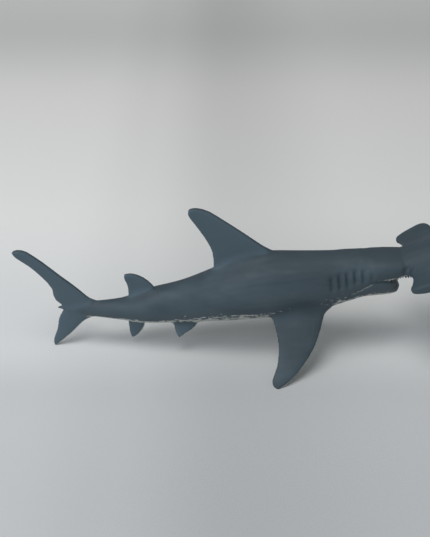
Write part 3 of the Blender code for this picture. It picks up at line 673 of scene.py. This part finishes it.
@dataclass
class SharkSkin:
    """The moulded skin of the whole shark.

    The roots of the fins are eased as far ahead as ease_ahead, and below throat_height they are eased as far
    as throat_ahead.
    """

    voxel: float = 0.38 * MM
    most_triangles: int = 190000
    fair_rounds: int = 14
    last_rounds: int = 4
    fair_steps: tuple[float, float] = (0.5, -0.52)
    ease_rounds: int = 110
    ease_rings: int = 11
    ease_step: float = 0.6
    ease_bend: float = 60.0
    ease_fade: float = 2.0 * MM
    ease_ahead: float = 0.0420
    throat_ahead: float = 0.0500
    throat_height: float = 0.0330
    carve_rear: float = 0.0400
    carve_band: float = 0.25
    carve_reach: float = 2.0 * MM
    cover: CoatMap = CoatMap()
    webs: tuple[RootWeb, ...] = (
        RootWeb((0.0221, 0.0495), (0.0300, 0.0496), (0.0160, 0.0535)),
        RootWeb((-0.0623, 0.0240), (-0.0567, 0.0243), (-0.0662, 0.0287)),
        RootWeb((-0.0644, 0.0165), (-0.0588, 0.0162), (-0.0684, 0.0119)),
    )
    tail_tip: TipPad = TipPad((-0.09390, 0.04997), 2.65 * MM, 1.75 * MM, 0.65 * MM)
    flank: Flank = Flank()
    gills: GillRow = GillRow()
    jaw_end: Pit = Pit((0.0743, 0.0064, 0.0370), 1.3 * MM, 0.75 * MM)
    wing_root: Pit = Pit((0.0794, 0.0093, 0.0468), 1.7 * MM, 1.8 * MM)
    crease: SideLine = SideLine(((0.0605, 0.0380), (0.0577, 0.0362), (0.0561, 0.0351), (0.0539, 0.0333),
                                 (0.0514, 0.0318)), 0.20 * MM, 0.60 * MM, Relief.GROOVE)
    # The lip and the jaw's rim carry no relief; they only place the pale line along the mouth.
    lip: SideLine = SideLine(((0.0650, 0.0402), (0.0623, 0.0386), (0.0603, 0.0376), (0.0590, 0.0363),
                              (0.0577, 0.0361), (0.0566, 0.0349), (0.0552, 0.0346), (0.0545, 0.0334),
                              (0.0530, 0.0329)), 0.0, 0.60 * MM, Relief.RIDGE)
    jaw_rim: SideLine = SideLine(((0.0762, 0.0405), (0.0732, 0.0405), (0.0702, 0.0403)), 0.0, 0.42 * MM,
                                 Relief.RIDGE)

    def build(self, node: bpy.types.Object, coat: bpy.types.Material) -> bpy.types.Object:
        """Draw the skin over the solid, mould it and coat it.

        Args:
            node: The solid that it stands for, which stays as it is.
            coat: Its finish.

        Returns:
            The finished piece, with its place in its mesh.
        """
        net = self.draw_net(node)
        points, ends = self.arrays(net)
        points = self.fair(points, ends, self.fair_rounds)
        self.place(net, points)
        points = self.ease_roots(points, ends, self.normals(net))
        points = self.fair(points, ends, self.last_rounds)
        self.place(net, points)
        points = self.carve(points, self.normals(net))
        self.place(net, points)
        skin = self.thin(net)
        skin.data.shade_smooth()
        self.write_cover(skin.data)
        skin.data.materials.clear()
        skin.data.materials.append(coat)
        return skin

    @staticmethod
    def evaluated(data: bpy.types.Mesh, kind: str, **settings: Any) -> bpy.types.Mesh:
        """Run one modifier over a mesh.

        Args:
            data: The mesh.
            kind: The modifier's type.
            **settings: Its settings.

        Returns:
            A plain mesh of the result.
        """
        carrier = bpy.data.objects.new("carrier", data)
        bpy.context.scene.collection.objects.link(carrier)
        modifier = carrier.modifiers.new("step", kind)
        for name, value in settings.items():
            setattr(modifier, name, value)
        graph = bpy.context.evaluated_depsgraph_get()
        result = bpy.data.meshes.new_from_object(carrier.evaluated_get(graph))
        bpy.data.objects.remove(carrier, do_unlink=True)
        return result

    def draw_net(self, node: bpy.types.Object) -> bpy.types.Mesh:
        """Take a merged copy of the solid and draw an even, fine net over it.

        Args:
            node: The solid.

        Returns:
            The net.
        """
        mesh = bmesh.new()
        mesh.from_mesh(node.data)
        bmesh.ops.remove_doubles(mesh, verts=mesh.verts[:], dist=0.001 * MM)
        for addition in (*self.webs, self.tail_tip):
            addition.add_to(mesh)
        data = bpy.data.meshes.new("merged_copy")
        mesh.to_mesh(data)
        mesh.free()
        return self.evaluated(data, "REMESH", mode="VOXEL", voxel_size=self.voxel)

    def thin(self, net: bpy.types.Mesh) -> bpy.types.Object:
        """Make the net coarser where the skin is nearly flat.

        Args:
            net: The fine net.

        Returns:
            An object of at most the set number of triangles.
        """
        triangles = sum(len(face.vertices) - 2 for face in net.polygons)
        data = self.evaluated(net, "DECIMATE", ratio=min(1.0, self.most_triangles / triangles))
        data.name = "shark_skin"
        skin = bpy.data.objects.new("shark_skin", data)
        bpy.context.scene.collection.objects.link(skin)
        return skin

    @staticmethod
    def arrays(data: bpy.types.Mesh) -> tuple[np.ndarray, np.ndarray]:
        """Read a mesh into arrays.

        Args:
            data: The mesh.

        Returns:
            Its points in rows, and the two ends of each of its edges.
        """
        points = np.zeros(len(data.vertices) * 3)
        data.vertices.foreach_get("co", points)
        ends = np.zeros(len(data.edges) * 2, dtype=np.int64)
        data.edges.foreach_get("vertices", ends)
        return points.reshape(-1, 3), ends.reshape(-1, 2)

    @staticmethod
    def normals(data: bpy.types.Mesh) -> np.ndarray:
        """Read the directions that a mesh's points face.

        Args:
            data: The mesh.

        Returns:
            One direction for each point, in rows.
        """
        facing = np.zeros(len(data.vertices) * 3)
        data.vertex_normals.foreach_get("vector", facing)
        return facing.reshape(-1, 3)

    @staticmethod
    def place(data: bpy.types.Mesh, points: np.ndarray) -> None:
        """Move a mesh's points, none of them below the floor.

        Args:
            data: The mesh.
            points: The new places, in rows.
        """
        points[:, 2] = np.maximum(points[:, 2], 0.0)
        data.vertices.foreach_set("co", points.reshape(-1))
        data.update()

    @staticmethod
    def average(values: np.ndarray, ends: np.ndarray) -> np.ndarray:
        """Find the mean of each point's neighbours' values.

        Args:
            values: One row, or one number, for each point.
            ends: The two ends of each edge.

        Returns:
            The means, in the same form.
        """
        many = len(values)
        here = np.concatenate((ends[:, 0], ends[:, 1]))
        there = np.concatenate((ends[:, 1], ends[:, 0]))
        count = np.maximum(np.bincount(here, minlength=many), 1)
        columns = values.reshape(many, -1).T
        means = [np.bincount(here, weights=column[there], minlength=many) / count for column in columns]
        return np.stack(means, axis=1).reshape(values.shape)

    def fair(self, points: np.ndarray, ends: np.ndarray, rounds: int) -> np.ndarray:
        """Smooth the net without shrinking it.

        Args:
            points: The net's points.
            ends: The ends of its edges.
            rounds: How many times it is smoothed.

        Returns:
            The points in their new places.
        """
        for _ in range(rounds):
            for step in self.fair_steps:
                points = points + step * (self.average(points, ends) - points)
        return points

    @staticmethod
    def bend(points: np.ndarray, ends: np.ndarray, facing: np.ndarray) -> np.ndarray:
        """Find how strongly the skin bends at each point.

        Args:
            points: The mesh's points.
            ends: The ends of its edges.
            facing: The direction that each point faces.

        Returns:
            The mean bend in 1/m: above zero on an edge, below it in a hollow.
        """
        way = points[ends[:, 1]] - points[ends[:, 0]]
        turn = facing[ends[:, 1]] - facing[ends[:, 0]]
        bends = np.einsum("ij,ij->i", way, turn) / np.maximum(np.einsum("ij,ij->i", way, way), 1e-12)
        many = len(points)
        total = np.bincount(ends[:, 0], weights=bends, minlength=many)
        total += np.bincount(ends[:, 1], weights=bends, minlength=many)
        count = np.bincount(ends.reshape(-1), minlength=many)
        return total / np.maximum(count, 1)

    def ease_roots(self, points: np.ndarray, ends: np.ndarray, facing: np.ndarray) -> np.ndarray:
        """Fill the creases where the fins meet the body with a soft fillet, and thin nothing beside them.

        Args:
            points: The net's points.
            ends: The ends of its edges.
            facing: The direction that each point faces.

        Returns:
            The points in their new places.
        """
        low = 1.0 - smooth_step(self.throat_height, self.throat_height + self.ease_fade, points[:, 2])
        limit = self.ease_ahead + (self.throat_ahead - self.ease_ahead) * low
        hollow = smooth_step(0.0, self.ease_bend, -self.bend(points, ends, facing))
        hollow *= 1.0 - smooth_step(-self.ease_fade, 0.0, points[:, 0] - limit)
        for _ in range(self.ease_rings):
            hollow = np.maximum(hollow, self.average(hollow, ends))
        for _ in range(self.ease_rounds):
            way = self.average(points, ends) - points
            rise = np.einsum("ij,ij->i", way, facing)
            share = np.clip(2.0 * rise / np.maximum(np.linalg.norm(way, axis=1), 1e-9), 0.0, 1.0)
            points = points + (self.ease_step * hollow * share)[:, None] * way
        return points

    def carve(self, points: np.ndarray, facing: np.ndarray) -> np.ndarray:
        """Mould the gills, the crease behind the mouth and the small hollows of the head into both sides.

        Args:
            points: The net's points.
            facing: The direction that each point faces.

        Returns:
            The points in their new places.
        """
        turn, reach = self.flank.polar(points)
        near = (points[:, 0] > self.carve_rear) & (np.abs(reach - 1.0) < self.carve_band)
        near &= np.abs(points[:, 1]) > self.carve_reach
        weight = self.gills.weight(points, turn) * near
        width, height, middle = self.flank.section(points[:, 0])
        pull = 1.0 + weight * (1.0 / np.maximum(reach, 0.1) - 1.0)
        placed = points.copy()
        placed[:, 1] = points[:, 1] * pull
        placed[:, 2] = middle + (points[:, 2] - middle) * pull
        outward = np.stack((np.zeros(len(points)), placed[:, 1] / width ** 2,
                            (placed[:, 2] - middle) / height ** 2), axis=1)
        outward /= np.maximum(np.linalg.norm(outward, axis=1), 1e-9)[:, None]
        lift = self.gills.offset(placed) * weight
        lift += self.crease.offset(placed) * near * (np.abs(points[:, 1]) > self.cover.flank_reach)
        placed += outward * lift[:, None]
        for pit in (self.jaw_end, self.wing_root):
            placed -= facing * (pit.depth * bell(pit.distance(points), pit.radius))[:, None]
        return placed

    def write_cover(self, data: bpy.types.Mesh) -> None:
        """Store how far each point faces down, how far its coat is rubbed, flecked or worn, where a pale
        line runs along the mouth, and how far the fins get a painted sheen.

        Args:
            data: The skin's mesh.
        """
        cover = self.cover
        points, ends = self.arrays(data)
        facing = self.normals(data)
        along, height = points[:, 0], points[:, 2]
        out = np.abs(points[:, 1])
        behind = along < self.ease_ahead

        down = -facing[:, 2]
        for _ in range(cover.facing_rounds):
            down = 0.5 * down + 0.5 * self.average(down, ends)
        throat = bell(along - cover.throat_at, cover.throat_length) * (out < cover.middle_reach)
        belly = bell(along - cover.belly_at, cover.belly_length) * (out < cover.middle_reach)
        down = down + cover.belly_bare * belly - cover.throat_coated * throat
        upright = smooth_step(*cover.upright_heights, height) * behind
        upright *= 1.0 - smooth_step(*cover.upright_reach, out)
        down = np.where(down > 0.0, down * (1.0 - cover.upright_coated * upright), down)

        rub_and_pale_line = cover.pit_rub * bell(self.jaw_end.distance(points), 2.0 * self.jaw_end.radius)
        # A pale line along the lip and the jaw's rim, added to the rubbed ring round the jaw's end.
        first_full, last_full = cover.line_full
        for line in (self.lip, self.jaw_rim):
            signed, share = line.distance(points)
            fade = smooth_step(0.0, first_full, share) * (1.0 - smooth_step(last_full, 1.0, share))
            rub_and_pale_line += cover.pale_line_share * bell(signed, line.half_width) * fade * (out > cover.flank_reach)

        edge = smooth_step(*cover.edge_bends, self.bend(points, ends, facing))
        for _ in range(cover.edge_rounds):
            edge = 0.5 * edge + 0.5 * self.average(edge, ends)
        worn = edge * (1.0 - smooth_step(*cover.worn_heights, height))
        worn *= smooth_step(*cover.worn_facing, facing[:, 0])

        # Painted sheen: the thin fins and the fins hanging below the tail get a lighter, bluer tone where
        # they stand upright.
        fin = 1.0 - smooth_step(*cover.fin_sheen_reach, out)
        hanging_sheen = (1.0 - smooth_step(*cover.hanging_sheen_heights, height)) * (along < 0.0)
        fin = np.maximum(fin, hanging_sheen) * behind
        fin *= 1.0 - smooth_step(*cover.fin_sheen_facing, np.abs(facing[:, 2]))

        fields = {"under_side": down, "rub_and_pale_line": rub_and_pale_line, "worn": worn, "fin": fin,
                  "fleck": throat + cover.belly_flecks * belly}
        for name, values in fields.items():
            layer = data.attributes.new(name, "FLOAT", "POINT")
            layer.data.foreach_set("value", values.astype(np.float32))


@dataclass
class UpperTeeth:
    """The row of small jagged teeth along each side of the upper jaw."""

    first: float = 0.0716
    last: float = 0.0810
    count: int = 9
    length: float = 1.10 * MM
    width: float = 1.50 * MM
    sunk: float = 0.45 * MM
    turn: float = math.radians(-44.0)
    path_points: int = 24
    point_share: float = 0.08
    least_size: tuple[float, float, float] = (0.8, 0.55, 0.6)
    most_size: tuple[float, float, float] = (1.2, 0.7, 1.15)
    least_lean: tuple[float, float, float] = (math.pi - 0.15, -0.35, 0.0)
    most_lean: tuple[float, float, float] = (math.pi + 0.15, 0.15, 0.0)
    seed: int = 4
    flank: Flank = Flank()

    def path(self, side: Side) -> bpy.types.Object:
        """Draw the line that the teeth stand on.

        Args:
            side: The side of the mouth.

        Returns:
            An object of points and edges along the jaw's edge.
        """
        mesh = bmesh.new()
        corner = 2.0 / self.flank.cheek_fullness
        out = math.cos(self.turn) ** corner
        down = math.sin(-self.turn) ** corner
        previous = None
        for along in np.linspace(self.first, self.last, self.path_points):
            width, height, middle = (float(value[0]) for value in self.flank.section(np.array([along])))
            here = mesh.verts.new((along, side.value * width * out, middle - height * down + self.sunk))
            if previous:
                mesh.edges.new((previous, here))
            previous = here
        data = bpy.data.meshes.new("gum_line")
        mesh.to_mesh(data)
        mesh.free()
        line = bpy.data.objects.new("gum_line", data)
        bpy.context.scene.collection.objects.link(line)
        return line

    def tree(self) -> bpy.types.GeometryNodeTree:
        """Build the tree that stands slightly uneven teeth along a line.

        Returns:
            The tree, with its sizes and its finish as inputs.
        """
        tree = bpy.data.node_groups.new("teeth_along_line", "GeometryNodeTree")
        face = tree.interface
        face.new_socket("Line", in_out="INPUT", socket_type="NodeSocketGeometry")
        for name in ("Length", "Width"):
            face.new_socket(name, in_out="INPUT", socket_type="NodeSocketFloat")
        for name in ("Count", "Seed"):
            face.new_socket(name, in_out="INPUT", socket_type="NodeSocketInt")
        face.new_socket("Finish", in_out="INPUT", socket_type="NodeSocketMaterial")
        face.new_socket("Teeth", in_out="OUTPUT", socket_type="NodeSocketGeometry")
        given = add_node(tree, "NodeGroupInput").outputs
        curve = add_node(tree, "GeometryNodeMeshToCurve", {"Mesh": given["Line"]}).outputs[0]
        stands = add_node(tree, "GeometryNodeResampleCurve", {
            "Curve": curve, "Count": given["Count"]}).outputs[0]
        base, point = (
            add_node(tree, "ShaderNodeMath", {0: given["Width"], 1: share}, operation="MULTIPLY").outputs[0]
            for share in (0.5, self.point_share))
        cone = add_node(tree, "GeometryNodeMeshCone", {
            "Vertices": 10, "Side Segments": 3, "Radius Top": point, "Radius Bottom": base,
            "Depth": given["Length"]}).outputs["Mesh"]
        size = add_node(tree, "FunctionNodeRandomValue", {
            "Min": self.least_size, "Max": self.most_size, "Seed": given["Seed"]},
            data_type="FLOAT_VECTOR").outputs["Value"]
        turn = add_node(tree, "FunctionNodeRandomValue", {
            "Min": self.least_lean, "Max": self.most_lean, "Seed": given["Seed"]},
            data_type="FLOAT_VECTOR").outputs["Value"]
        spread = add_node(tree, "GeometryNodeInstanceOnPoints", {
            "Points": stands, "Instance": cone, "Rotation": turn, "Scale": size}).outputs[0]
        real = add_node(tree, "GeometryNodeRealizeInstances", {"Geometry": spread}).outputs[0]
        smooth = add_node(tree, "GeometryNodeSetShadeSmooth", {"Geometry": real}).outputs[0]
        coated = add_node(tree, "GeometryNodeSetMaterial", {
            "Geometry": smooth, "Material": given["Finish"]}).outputs[0]
        add_node(tree, "NodeGroupOutput", {"Teeth": coated})
        return tree

    def build(self, finish: bpy.types.Material) -> bpy.types.Object:
        """Stand the teeth along both sides.

        Args:
            finish: Their finish.

        Returns:
            One piece with all the teeth.
        """
        tree = self.tree()
        sizes = {"Length": self.length, "Width": self.width, "Count": self.count, "Finish": finish}
        joined = bmesh.new()
        for side in Side:
            line = self.path(side)
            modifier = line.modifiers.new("teeth", "NODES")
            modifier.node_group = tree
            for item in tree.interface.items_tree:
                if item.name in sizes:
                    modifier[item.identifier] = sizes[item.name]
                elif item.name == "Seed":
                    modifier[item.identifier] = self.seed + side.value
            graph = bpy.context.evaluated_depsgraph_get()
            joined.from_mesh(bpy.data.meshes.new_from_object(line.evaluated_get(graph)))
            line.modifiers.clear()
            bpy.data.objects.remove(line, do_unlink=True)
        data = bpy.data.meshes.new("upper_teeth")
        joined.to_mesh(data)
        joined.free()
        data.shade_smooth()
        data.materials.append(finish)
        teeth = bpy.data.objects.new("upper_teeth", data)
        bpy.context.scene.collection.objects.link(teeth)
        return teeth


@dataclass(frozen=True)
class SoftLamp:
    """One soft square lamp: where it hangs, what it points at, its side and its power."""

    name: str
    place: tuple[float, float, float]
    target: tuple[float, float, float]
    side: float
    watts: float
    tint: str

    def hang(self) -> None:
        """Put up the lamp."""
        data = bpy.data.lights.new(self.name, "AREA")
        data.shape = "SQUARE"
        data.size = self.side
        data.energy = self.watts
        data.color = linear(self.tint)[:3]
        lamp = bpy.data.objects.new(self.name, data)
        lamp.location = self.place
        aim = Vector(self.target) - lamp.location
        lamp.rotation_euler = aim.to_track_quat("-Z", "Y").to_euler()
        bpy.context.scene.collection.objects.link(lamp)


@dataclass
class Studio:
    """The camera at the photograph's angle, soft light from above and from the tail's side, and a cloth."""

    focus: Vector = Vector((-0.0059, 0.0, 0.042))
    distance: float = 0.45
    elevation: float = math.radians(32.0)
    focal_pixels: float = 1000.0
    sensor_mm: float = 36.0
    cloth_half: float = 3.0
    cloth_squares: int = 4
    lamps: tuple[SoftLamp, ...] = (
        SoftLamp("overhead", (-0.18, -0.22, 0.84), (0.0, 0.0, 0.0), 0.42, 3.3, "#FFFFFF"),
        SoftLamp("window", (-0.48, -0.42, 0.36), (-0.02, 0.0, 0.03), 0.50, 1.5, "#EAF2FF"),
    )
    sky: str = "#E4E9EC"
    sky_strength: float = 0.35

    def camera(self) -> bpy.types.Object:
        """Put up the camera, level and facing straight at the shark's right side.

        Returns:
            The camera.
        """
        data = bpy.data.cameras.new("camera")
        data.sensor_fit = "HORIZONTAL"
        data.sensor_width = self.sensor_mm
        data.lens = self.sensor_mm * self.focal_pixels / PHOTO_WIDTH
        data.clip_start = 0.01
        camera = bpy.data.objects.new("camera", data)
        back = Vector((0.0, -math.cos(self.elevation), math.sin(self.elevation)))
        camera.location = self.focus + back * self.distance
        camera.rotation_euler = (math.pi / 2.0 - self.elevation, 0.0, 0.0)
        bpy.context.scene.collection.objects.link(camera)
        bpy.context.scene.camera = camera
        return camera

    def light(self) -> None:
        """Hang the lamps and set the sky's light."""
        for lamp in self.lamps:
            lamp.hang()
        world = bpy.data.worlds.new("studio")
        world.use_nodes = True
        sky = world.node_tree.nodes["Background"]
        sky.inputs["Color"].default_value = linear(self.sky)
        sky.inputs["Strength"].default_value = self.sky_strength
        bpy.context.scene.world = world
        bpy.context.scene.view_settings.view_transform = "Standard"

    def floor(self, cloth: bpy.types.Material) -> bpy.types.Object:
        """Lay the cloth.

        Args:
            cloth: Its finish.

        Returns:
            The cloth, which is not part of the shark.
        """
        mesh = bmesh.new()
        bmesh.ops.create_grid(
            mesh, x_segments=self.cloth_squares, y_segments=self.cloth_squares, size=self.cloth_half)
        data = bpy.data.meshes.new("cloth")
        mesh.to_mesh(data)
        mesh.free()
        data.materials.append(cloth)
        floor = bpy.data.objects.new("cloth", data)
        bpy.context.scene.collection.objects.link(floor)
        return floor


def main() -> None:
    """Build the shark, its teeth and the studio, in order."""
    logging.basicConfig(level=logging.INFO, format="%(message)s")
    studio = Studio()
    studio.camera()
    studio.light()
    coat = SprayedVinyl().make("sprayed_vinyl")
    skin = SharkSkin().build(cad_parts["shark_body"], coat)
    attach(skin, "root")
    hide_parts("shark_body")
    LOG.info("skin: %d points, %d faces", len(skin.data.vertices), len(skin.data.polygons))
    teeth = UpperTeeth().build(coat)
    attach(teeth, "root")
    LOG.info("teeth: %d faces", len(teeth.data.polygons))
    floor = studio.floor(SheetCloth().make("sheet_cloth"))
    LOG.info("cloth laid")


if __name__ == "__main__":
    main()
